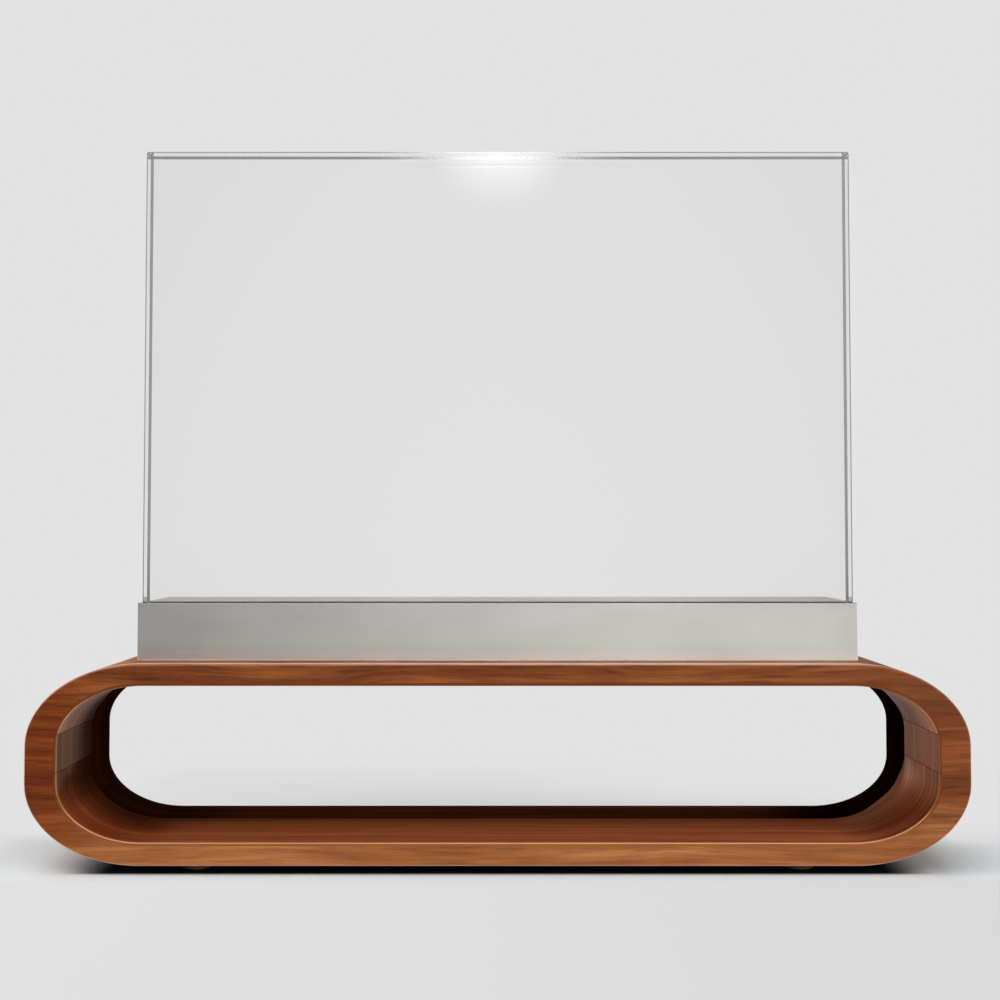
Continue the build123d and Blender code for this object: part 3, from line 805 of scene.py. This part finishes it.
def satin_metal():
    """Bead-blasted, clear-anodised aluminium: a fine even grain, faint clouds
    left by the blasting, a painted reflection along the bar, and its lower part and lower edge
    painted brighter as painted light."""
    m = Mat("satin_metal")
    co = m.coords()
    x, y, z = m.split(co)
    blast = m.noise(co, scale=9000.0, detail=2.0, rough=0.6)
    cloud = m.noise(m.vec(m.math("MULTIPLY", x, 22.0), m.math("MULTIPLY", y, 60.0),
                          m.math("MULTIPLY", z, 60.0)), detail=3.0)
    pull = m.noise(m.vec(m.math("MULTIPLY", x, 60.0), m.math("MULTIPLY", y, 2600.0),
                         m.math("MULTIPLY", z, 2600.0)), detail=2.0)
    c = m.remap(cloud, 0.3, 0.7)
    colour = m.ramp(c, [(0.0, (0.70, 0.672, 0.640)), (0.5, (0.735, 0.715, 0.685)),
                        (1.0, (0.76, 0.748, 0.712))])
    colour = m.mix(1.0, colour, m.grey(m.remap(blast, 0.25, 0.75, 0.95, 1.04)), "MULTIPLY")
    # painted light: the lowest part of the bar is painted paler, pinker and less metallic, so it
    # stays bright where it mirrors the darker wood
    foot = m.remap(z, 70.7 * MM, 67.2 * MM, 0.0, 1.0, smooth=True)
    colour = m.mix(foot, colour, m.mix(1.0, colour, (1.22, 1.19, 1.19), "MULTIPLY"))
    # painted highlight: its lower edge painted paler still and almost not metallic
    heel = m.remap(z, 67.15 * MM, 66.95 * MM, 0.0, 1.0, smooth=True)
    colour = m.mix(heel, colour, m.mix(m.remap(x, -0.10, 0.0), (0.86, 0.74, 0.68),
                                       (0.98, 0.84, 0.76)))
    # painted reflection: the brightness is painted along the bar, darker at the ends and
    # brightest right of the middle
    along = m.ramp(m.remap(x, -0.1171, 0.1171), [
        (0.0, (0.90,) * 3), (0.06, (0.96,) * 3), (0.24, (1.0,) * 3), (0.42, (1.045,) * 3),
        (0.57, (1.09,) * 3), (0.71, (1.17,) * 3), (0.85, (1.03,) * 3), (0.95, (0.97,) * 3),
        (1.0, (0.89,) * 3)])
    colour = m.mix(1.0, colour, along, "MULTIPLY")
    # a dark line along the narrow front strip of the top
    mark = m.math("MULTIPLY", m.remap(z, bar_hi.z - 0.17 * MM, bar_hi.z - 0.07 * MM, 0.0, 1.0),
                  m.remap(y, -13.6 * MM, -13.9 * MM, 0.0, 1.0))
    colour = m.mix(mark, colour, m.mix(1.0, colour, (0.24, 0.235, 0.23), "MULTIPLY"))
    rough = m.math("ADD", m.remap(cloud, 0.3, 0.7, 0.40, 0.46),
                   m.remap(pull, 0.3, 0.7, -0.02, 0.02))
    top = m.remap(m.split(m.normal())[2], 0.6, 0.8, 0.0, 1.0, smooth=True)
    rough = m.math("ADD", rough, m.math("MULTIPLY", top, 0.12))
    m.set(Base_Color=colour, Metallic=m.math("SUBTRACT", 1.0, m.math(
        "MAXIMUM", m.math("MULTIPLY", foot, m.remap(x, -0.10, 0.09, 0.15, 0.34)),
        m.math("MULTIPLY", heel, 0.9))),
        Roughness=rough)
    m.bump(m.math("ADD", m.math("MULTIPLY", blast, 0.7), m.math("MULTIPLY", pull, 0.3)),
           0.00001, 0.5)
    return m.mat


def rubber(name, base, rough=0.75):
    m = Mat(name)
    co = m.coords()
    a = m.noise(co, scale=4200.0, detail=3.0, rough=0.6)
    b = m.noise(co, scale=140.0, detail=2.0)
    colour = m.ramp(m.remap(b, 0.3, 0.7), [(0.0, scaled(base, 0.82)), (1.0, scaled(base, 1.2))])
    m.set(Base_Color=colour, Roughness=m.remap(a, 0.3, 0.7, rough - 0.08, rough + 0.1),
          Specular_IOR_Level=0.35)
    m.bump(a, 0.00003, 0.6)
    return m.mat


def screw_steel():
    m = Mat("screw_steel")
    co = m.coords()
    a = m.noise(co, scale=2600.0, detail=3.0, rough=0.6)
    b = m.noise(co, scale=420.0, detail=2.0)
    colour = m.ramp(m.remap(b, 0.3, 0.7), [(0.0, (0.30, 0.295, 0.285)),
                                           (1.0, (0.44, 0.43, 0.415))])
    m.set(Base_Color=colour, Metallic=1.0, Roughness=m.remap(a, 0.3, 0.7, 0.26, 0.38))
    m.bump(a, 0.00001, 0.4)
    return m.mat


def clear_glass():
    m = Mat("clear_glass")
    co = m.coords()
    haze = m.noise(co, scale=9.0, detail=2.0)
    m.set(Base_Color=(0.985, 0.987, 0.986, 1.0), Transmission_Weight=1.0, IOR=1.5,
          Roughness=m.remap(haze, 0.35, 0.75, 0.0, 0.004))
    return m.mat


def ground_arris():
    """The narrow bevel ground along each edge of the glass: matt and grey."""
    m = Mat("ground_arris")
    co = m.coords()
    x, y, z = m.split(co)
    grit = m.noise(co, scale=5200.0, detail=2.0, rough=0.6)
    colour = m.ramp(m.remap(grit, 0.3, 0.7), [(0.0, (0.285, 0.29, 0.29)),
                                              (1.0, (0.33, 0.335, 0.335))])
    # the front ones are darker, the top front one most
    front = m.math("MULTIPLY", m.remap(y, -12.0 * MM, -12.5 * MM, 0.0, 1.0),
                   m.remap(z, 233.0 * MM, 233.9 * MM, 0.80, 0.60))
    colour = m.mix(m.remap(y, -12.0 * MM, -12.5 * MM, 0.0, 1.0), colour,
                   m.mix(1.0, colour, m.grey(front), "MULTIPLY"))
    m.set(Base_Color=colour, Roughness=m.remap(grit, 0.3, 0.7, 0.55, 0.75),
          Specular_IOR_Level=0.15)
    m.bump(grit, 0.000004, 0.2)
    return m.mat


MATS = {
    "walnut_front": walnut_board("walnut_front", 0.37, -0.055, -0.085),
    "walnut_middle": walnut_board("walnut_middle", 4.81, -0.020, -0.110),
    "walnut_rear": walnut_board("walnut_rear", 9.13, 0.070, -0.070),
    "lining_oiled": walnut_lining("lining_oiled", 21.0, (0.340, 0.090, 0.032),
                                  (0.090, 0.026, 0.010), (0.405, 0.112, 0.042), 0.66, 0.0),
    "lining_waxed": walnut_lining("lining_waxed", 33.0, (0.235, 0.075, 0.027),
                                  (0.070, 0.022, 0.009), (0.285, 0.098, 0.037), 0.46, 0.085),
    # the left and right panels are copies of one veneer: the left painted darker as painted
    # shade, the right lighter as painted light
    "lining_left": walnut_lining("lining_left", 57.0, (0.140, 0.066, 0.030),
                                 (0.040, 0.016, 0.007), (0.170, 0.082, 0.038), 0.50, 0.045),
    "lining_right": walnut_lining("lining_right", 71.0, (0.262, 0.078, 0.028),
                                  (0.080, 0.025, 0.010), (0.312, 0.098, 0.037), 0.48, 0.13),
    "dark_lining": dark_lining(),
    "foot_wood": small_wood("foot_wood", (0.30, 0.105, 0.050), (0.42, 0.16, 0.075), 3.3),
    "dowel_wood": small_wood("dowel_wood", (0.36, 0.20, 0.10), (0.46, 0.28, 0.15), 8.8),
    "satin_metal": satin_metal(),
    "underlay_film": rubber("underlay_film", (0.020, 0.018, 0.017)),
    "gasket_rubber": rubber("gasket_rubber", (0.022, 0.022, 0.022), 0.6),
    "pad_rubber": rubber("pad_rubber", (0.24, 0.090, 0.048), 0.88),
    "screw_steel": screw_steel(),
    "clear_glass": clear_glass(),
    "ground_arris": ground_arris(),
}


def paint(obj, *names):
    obj.data.materials.clear()
    for n in names:
        obj.data.materials.append(MATS[n])


paint(pieces["loop_front_ring"], "walnut_front")
paint(pieces["loop_middle_ring"], "walnut_middle")
paint(pieces["loop_rear_ring"], "walnut_rear")
paint(pieces["liner_lower_wrap"], "lining_oiled")
paint(pieces["liner_upper_wrap"], "lining_waxed")
paint(pieces["liner_left_panel"], "lining_left")
paint(pieces["liner_right_panel"], "lining_right")
for n in ("rear_band_lower", "rear_band_upper"):
    paint(pieces[n], "dark_lining")
paint(pieces["plinth_bar"], "satin_metal")
paint(pieces["slot_gasket"], "gasket_rubber")
paint(pieces["glass_panel"], "clear_glass", "ground_arris")
for f in slab.data.polygons:        # the bevels are ground, the faces polished
    f.material_index = 1 if max(abs(c) for c in f.normal) < 0.9 else 0
CAD_MATS = {"foot_front_left": "foot_wood", "foot_front_right": "foot_wood",
            "foot_rear_left": "foot_wood", "foot_rear_right": "foot_wood",
            "foot_screws": "screw_steel", "foot_pads": "pad_rubber",
            "plinth_underlay": "underlay_film", "plinth_screws": "screw_steel",
            "loop_dowels": "dowel_wood"}
for n, mat in CAD_MATS.items():
    for s in nodes[n].material_slots:
        s.material = MATS[mat]

# light passes the glass freely
slab.visible_shadow = False
slab.visible_diffuse = False


# ------------------------------------------------------------------- stage
BACK = 0.766               # radiance of the seamless pale backdrop
SOFT_FRONT, SOFT_ROUND = 0.03, 0.0
SCREEN = 0.6


HW_Y = Y3


def straight_through(m, path):
    """1 for what is seen through the clear panel with no reflection on the way."""
    bent = m.math("SUBTRACT", path.outputs["Ray Depth"], path.outputs["Transmission Depth"])
    return m.math("MULTIPLY", m.math("LESS_THAN", bent, 0.5),
                  m.math("GREATER_THAN", path.outputs["Transmission Depth"], 0.5))


def stage_floor():
    me = bpy.data.meshes.new("stage_floor")
    s = 14.0
    me.from_pydata([(-s, -s, 0), (s, -s, 0), (s, s, 0), (-s, s, 0)], [], [(0, 1, 2, 3)])
    obj = bpy.data.objects.new("stage_floor", me)
    scene.collection.objects.link(obj)
    mat = bpy.data.materials.new("stage_floor")
    mat.use_nodes = True
    nt = mat.node_tree
    nt.nodes.clear()
    m = Mat.__new__(Mat)
    m.mat, m.nt = mat, nt
    out = nt.nodes.new("ShaderNodeOutputMaterial")
    diff = nt.nodes.new("ShaderNodeBsdfDiffuse")
    emit = nt.nodes.new("ShaderNodeEmission")
    mix = nt.nodes.new("ShaderNodeMixShader")
    emit.inputs["Color"].default_value = (BACK, BACK, BACK, 1)
    emit.inputs["Strength"].default_value = 1.0
    x, y, z = m.split(m.coords())
    # shaded close to the stand, even further off
    d_front = m.math("MAXIMUM", m.math("SUBTRACT", -HW_Y, y), 0.0)
    d_rear = m.math("MAXIMUM", m.math("SUBTRACT", y, HW_Y), 0.0)
    d_side = m.math("MAXIMUM", m.math("SUBTRACT", m.math("ABSOLUTE", x), HW_OUT), 0.0)
    reach = m.remap(x, -0.10, 0.10, 0.125, 0.075)
    q = m.math("ADD", m.math("POWER", m.math("DIVIDE", d_front, 0.007), 2.0),
               m.math("ADD", m.math("POWER", m.math("DIVIDE", d_rear, reach), 2.0),
                      m.math("POWER", m.math("DIVIDE", d_side, 0.045), 2.0)))
    f = m.remap(m.math("SQRT", q), 0.15, 1.0, 0.0, 1.0, smooth=True)
    # the shade beside the ends stops level with the middle of the stand
    clear = m.math("MULTIPLY", m.remap(m.math("ABSOLUTE", x), 0.146, 0.162, 0.0, 1.0),
                   m.remap(m.math("ADD", y, m.remap(x, -0.1, 0.1, 0.0, 0.009)),
                           0.010, 0.031, 0.0, 1.0, smooth=True))
    f = m.math("MAXIMUM", f, clear)
    # painted light: the floor's glow is brighter to the left and darker to the right, as the left
    # lamps fall
    lit = m.mix(m.remap(x, -0.16, 0.13, 0.0, 1.0, smooth=True),
                (0.758, 0.758, 0.758), (0.702, 0.702, 0.702))
    away = m.math("SQRT", m.math("ADD", m.math("MULTIPLY", x, x), m.math("MULTIPLY", y, y)))
    # painted shadow: just behind the stand the glow is darker, most to the left
    near = m.mix(m.remap(x, -0.02, 0.09, 0.0, 1.0, smooth=True),
                 (0.668, 0.668, 0.668), (0.748, 0.748, 0.748))
    near = m.mix(m.remap(m.math("ABSOLUTE", x), 0.138, 0.160, 0.0, 1.0, smooth=True),
                 near, (0.764, 0.764, 0.764))
    lit = m.mix(m.remap(y, 0.0, 0.05, 0.0, 1.0, smooth=True), lit, near)
    far = m.math("MAXIMUM", m.remap(y, 0.06, 0.17, 0.0, 1.0, smooth=True),
                 m.remap(away, 0.24, 0.70, 0.0, 1.0, smooth=True))
    lit = m.mix(far, lit, (BACK, BACK, BACK))
    # what the glass and the metal mirror further in front dims to the sides
    ang = m.math("MULTIPLY", m.math("ARCTAN2", x, m.math("MULTIPLY", y, -1.0)), 57.2958)
    wide = m.math("MAXIMUM", m.math("SUBTRACT", 0.774, m.math(
        "MULTIPLY", m.math("MULTIPLY", ang, ang), 0.0015)), 0.06)
    path = nt.nodes.new("ShaderNodeLightPath")
    # what comes out sideways through the ends of the glass meets a pale floor
    wide = m.math("MAXIMUM", wide, m.math(
        "MULTIPLY", m.remap(m.math("ABSOLUTE", ang), 24.0, 60.0, 0.0, 0.72, smooth=True),
        path.outputs["Is Transmission Ray"]))
    direct = m.math("MAXIMUM", path.outputs["Is Camera Ray"], path.outputs["Is Diffuse Ray"])
    direct = m.math("MAXIMUM", direct, straight_through(m, path))
    ahead = m.math("MULTIPLY", m.remap(y, -0.25, -0.45, 0.0, 1.0, smooth=True),
                   m.math("SUBTRACT", 1.0, direct))
    m.link(m.mix(ahead, lit, m.grey(wide)), emit.inputs["Color"])
    # the deep shade in the narrow gap beneath the stand
    under = m.math("MULTIPLY", m.remap(y, -23.0 * MM, -21.2 * MM, 0.0, 1.0, smooth=True),
                   m.remap(y, 24.0 * MM, 20.0 * MM, 0.0, 1.0, smooth=True))
    under = m.math("MULTIPLY", under, m.remap(m.math("ABSOLUTE", x), 0.142, 0.124,
                                              0.0, 1.0, smooth=True))
    # painted light: near the stand the floor is painted cooler, most by the right end, cancelling
    # the warm light bounced off the wood
    paper = m.mix(m.remap(x, 0.118, 0.150, 0.0, 1.0, smooth=True),
                  (0.762, 0.798, 0.806), (0.735, 0.800, 0.822))
    paper = m.mix(m.remap(x, 0.153, 0.178, 0.0, 1.0, smooth=True), paper,
                  (0.750, 0.791, 0.800))
    # further behind, no warm wood is near enough to tint it, so the painted cooling fades; there
    # the floor is painted darker to the left, a painted shadow
    plain = m.mix(m.remap(x, 0.02, -0.06, 0.0, 1.0, smooth=True),
                  (0.772, 0.784, 0.786), (0.744, 0.753, 0.755))
    paper = m.mix(m.remap(y, 0.030, 0.065, 0.0, 1.0, smooth=True), paper, plain)
    # painted shadow: the floor darker beside the left end
    paper = m.mix(m.remap(x, -0.148, -0.170, 0.0, 1.0, smooth=True), paper,
                  (0.650, 0.664, 0.670))
    m.link(m.mix(under, paper, (0.010, 0.014, 0.014)), diff.inputs["Color"])
    nt.links.new(f, mix.inputs[0])
    nt.links.new(diff.outputs[0], mix.inputs[1])
    nt.links.new(emit.outputs[0], mix.inputs[2])
    nt.links.new(mix.outputs[0], out.inputs["Surface"])
    me.materials.append(mat)
    return obj


stage_floor()

# surroundings: even and pale to the eye; what the gloss and the glass mirror
# from the front falls off to the sides and upwards
world = bpy.data.worlds.new("studio")
scene.world = world
world.use_nodes = True
nt = world.node_tree
nt.nodes.clear()
w = Mat.__new__(Mat)
w.mat, w.nt = None, nt
out = nt.nodes.new("ShaderNodeOutputWorld")
bg = nt.nodes.new("ShaderNodeBackground")
nt.links.new(bg.outputs[0], out.inputs["Surface"])
dx, dy, dz = w.split(w.coords("Generated"))
az = w.math("MULTIPLY", w.math("ARCTAN2", dx, w.math("MULTIPLY", dy, -1.0)), 57.2958)
el = w.math("MULTIPLY", w.math("ARCSINE", dz), 57.2958)
az2 = w.math("MULTIPLY", w.math("MULTIPLY", az, az), 0.0015)
el3 = w.math("ADD", el, 3.0)
el2 = w.math("MULTIPLY", w.math("MULTIPLY", el3, el3), 0.0007)
front = w.math("MAXIMUM", w.math("SUBTRACT", w.math("SUBTRACT", 0.78, az2), el2), 0.06)
# beyond what the glass mirrors, the room is dim above and pale behind
rear = w.remap(dy, -0.25, 0.15, 0.0, 1.0, smooth=True)
room = w.remap(el, 22.0, 50.0, 0.0, 0.34, smooth=True)
front_plain = w.math("MAXIMUM", front, room)
# a tall pale screen to the right, outside what the glass mirrors
screen = w.math("MULTIPLY", w.remap(az, 22.0, 42.0, 0.0, 1.0, smooth=True),
                w.remap(az, 80.0, 58.0, 0.0, 1.0, smooth=True))
screen = w.math("MULTIPLY", screen, w.remap(el, 48.0, 20.0, 0.0, 1.0, smooth=True))
front = w.math("ADD", front_plain, w.math("MULTIPLY", screen, SCREEN))
wide_out = w.math("MULTIPLY", w.remap(w.math("ABSOLUTE", az), 24.0, 60.0, 0.0, 0.72, smooth=True),
                  nt.nodes.new("ShaderNodeLightPath").outputs["Is Transmission Ray"])
front = w.math("MAXIMUM", front, wide_out)
high = w.remap(el, 35.0, 60.0, 0.0, 1.0, smooth=True)
rear_l = w.mix(high, (BACK, BACK, BACK), (0.40, 0.40, 0.40))
lp = nt.nodes.new("ShaderNodeLightPath")
bounced = w.math("MULTIPLY", lp.outputs["Is Glossy Ray"],
                 w.math("SUBTRACT", 1.0, lp.outputs["Is Transmission Ray"]))
mirrored = w.mix(bounced, rear_l, (0.42, 0.42, 0.42))
level = w.mix(rear, w.grey(front), mirrored)
# what lights the matt surfaces: strongest from the front and above
soft_dir = w.remap(dy, -0.9, 0.5, 1.0, 0.0, smooth=True)
soft = w.math("ADD", w.math("MULTIPLY", soft_dir, SOFT_FRONT), SOFT_ROUND)
level = w.mix(lp.outputs["Is Diffuse Ray"], level, w.grey(soft))
seen = w.mix(w.math("MAXIMUM", lp.outputs["Is Camera Ray"], straight_through(w, lp)),
             level, (BACK, BACK, BACK))
nt.links.new(seen, bg.inputs["Color"])
bg.inputs["Strength"].default_value = 1.0
world.cycles.sampling_method = "NONE"


def area(name, loc, sx, sy, power, target=(0, 0, 0.02), glossy=True):
    d = bpy.data.lights.new(name, "AREA")
    d.shape = "RECTANGLE"
    d.size, d.size_y = sx, sy
    d.energy = power
    o = bpy.data.objects.new(name, d)
    o.location = loc
    o.rotation_mode = "QUATERNION"
    o.rotation_quaternion = (Vector(target) - Vector(loc)).to_track_quat("-Z", "Y")
    o.visible_camera = False
    o.visible_glossy = glossy
    o.visible_transmission = False
    scene.collection.objects.link(o)
    return o


area("key_left", (-0.60, -0.20, 0.90), 0.45, 0.45, 1.6)
area("side_left", (-0.90, 0.00, 0.75), 0.45, 0.45, 1.2)
area("rear_left", (-0.45, 0.30, 0.75), 0.35, 0.35, 0.6)
area("front_left", (-0.95, -0.45, 0.35), 0.45, 0.45, 4.5, glossy=False)
area("front_right", (0.85, -0.80, 0.34), 0.55, 0.45, 4.1)
area("near_right", (0.62, -0.30, 0.22), 0.28, 0.28, 1.25)
area("overhead_front", (0.00, -0.75, 0.95), 0.80, 0.50, 2.6)
area("overhead", (0.00, 0.00, 1.20), 1.00, 1.00, 8.2, glossy=False)


GLOW = 3.2
EDGE_SPOT = 480.0


def glow_panel():
    """A lamp with a soft edge, well in front of the stand and above it, that
    the glass mirrors along its top edge."""
    c, r = Vector((0.0, -1.50, 0.742)), 0.115
    face = (Vector((0, 0, 0.23)) - c).normalized()
    right = Vector((1, 0, 0))
    up = face.cross(right).normalized()
    verts, faces = [c[:]], []
    n = 48
    for k in range(n):
        a = 2 * math.pi * k / n
        verts.append((c + right * (r * math.cos(a)) + up * (r * math.sin(a)))[:])
    faces = [(0, 1 + k, 1 + (k + 1) % n) for k in range(n)]
    me = bpy.data.meshes.new("stage_glow")
    me.from_pydata(verts, [], faces)
    obj = bpy.data.objects.new("stage_glow", me)
    scene.collection.objects.link(obj)
    mat = bpy.data.materials.new("stage_glow")
    mat.use_nodes = True
    g = Mat.__new__(Mat)
    g.mat, g.nt = mat, mat.node_tree
    g.nt.nodes.clear()
    out = g.nt.nodes.new("ShaderNodeOutputMaterial")
    emit = g.nt.nodes.new("ShaderNodeEmission")
    clear = g.nt.nodes.new("ShaderNodeBsdfTransparent")
    add = g.nt.nodes.new("ShaderNodeAddShader")
    x, y, z = g.split(g.coords())
    ax = g.math("DIVIDE", g.math("SUBTRACT", x, c.x), r)
    az_ = g.math("DIVIDE", g.math("SUBTRACT", z, c.z), r * abs(up.z))
    d = g.math("SQRT", g.math("ADD", g.math("MULTIPLY", ax, ax), g.math("MULTIPLY", az_, az_)))
    # narrower upwards than sideways
    lean = g.math("DIVIDE", g.math("MULTIPLY", az_, az_),
                  g.math("ADD", g.math("MULTIPLY", d, d), 1e-5))
    power = g.math("ADD", g.math("MULTIPLY", lean, 0.9), 1.1)
    fall = g.math("POWER", g.math("MAXIMUM", g.math("SUBTRACT", 1.0, d), 0.0), power)
    # fuller in its upper part, which the glass mirrors once, not twice
    fall = g.math("MULTIPLY", fall, g.remap(z, 0.7245, 0.7315, 1.0, 1.9, smooth=True))
    path = g.nt.nodes.new("ShaderNodeLightPath")
    fall = g.math("MULTIPLY", fall, g.math("SUBTRACT", 1.0, straight_through(g, path)))
    g.link(g.math("MULTIPLY", fall, GLOW), emit.inputs["Strength"])
    g.link(emit.outputs[0], add.inputs[0])
    g.link(clear.outputs[0], add.inputs[1])
    g.link(add.outputs[0], out.inputs["Surface"])
    me.materials.append(mat)
    obj.visible_camera = False
    obj.visible_diffuse = False
    obj.visible_shadow = False
    return obj


glow_panel()
d = bpy.data.lights.new("edge_spot", "SPOT")
d.energy = EDGE_SPOT
d.spot_size = math.radians(2.7)
d.spot_blend = 1.0
d.shadow_soft_size = 0.015
edge_spot = bpy.data.objects.new("edge_spot", d)
edge_spot.location = (0.0, -1.50, 0.742)
edge_spot.rotation_mode = "QUATERNION"
edge_spot.rotation_quaternion = (
    Vector((-0.001, -0.01, 0.234)) - edge_spot.location).to_track_quat("-Z", "Y")
edge_spot.visible_camera = False
edge_spot.visible_glossy = False
edge_spot.visible_transmission = False
scene.collection.objects.link(edge_spot)

# ------------------------------------------------------------------ camera
cam = bpy.data.cameras.new("camera")
cam.lens = 40.08
cam.sensor_width = 36.0
cam.clip_start, cam.clip_end = 0.01, 60.0
eye = bpy.data.objects.new("camera", cam)
eye.location = (0.00075, -0.37865, 0.10792)
eye.rotation_euler = (math.radians(91.73), 0.0, 0.0)
scene.collection.objects.link(eye)
scene.camera = eye
scene.view_settings.view_transform = "Standard"
scene.view_settings.look = "None"
scene.view_settings.exposure = 0.0
scene.view_settings.gamma = 1.0

# light runs a long way inside the thick glass before it comes out
bpy.context.scene.cycles.glossy_bounces = 16
bpy.context.scene.cycles.max_bounces = 24
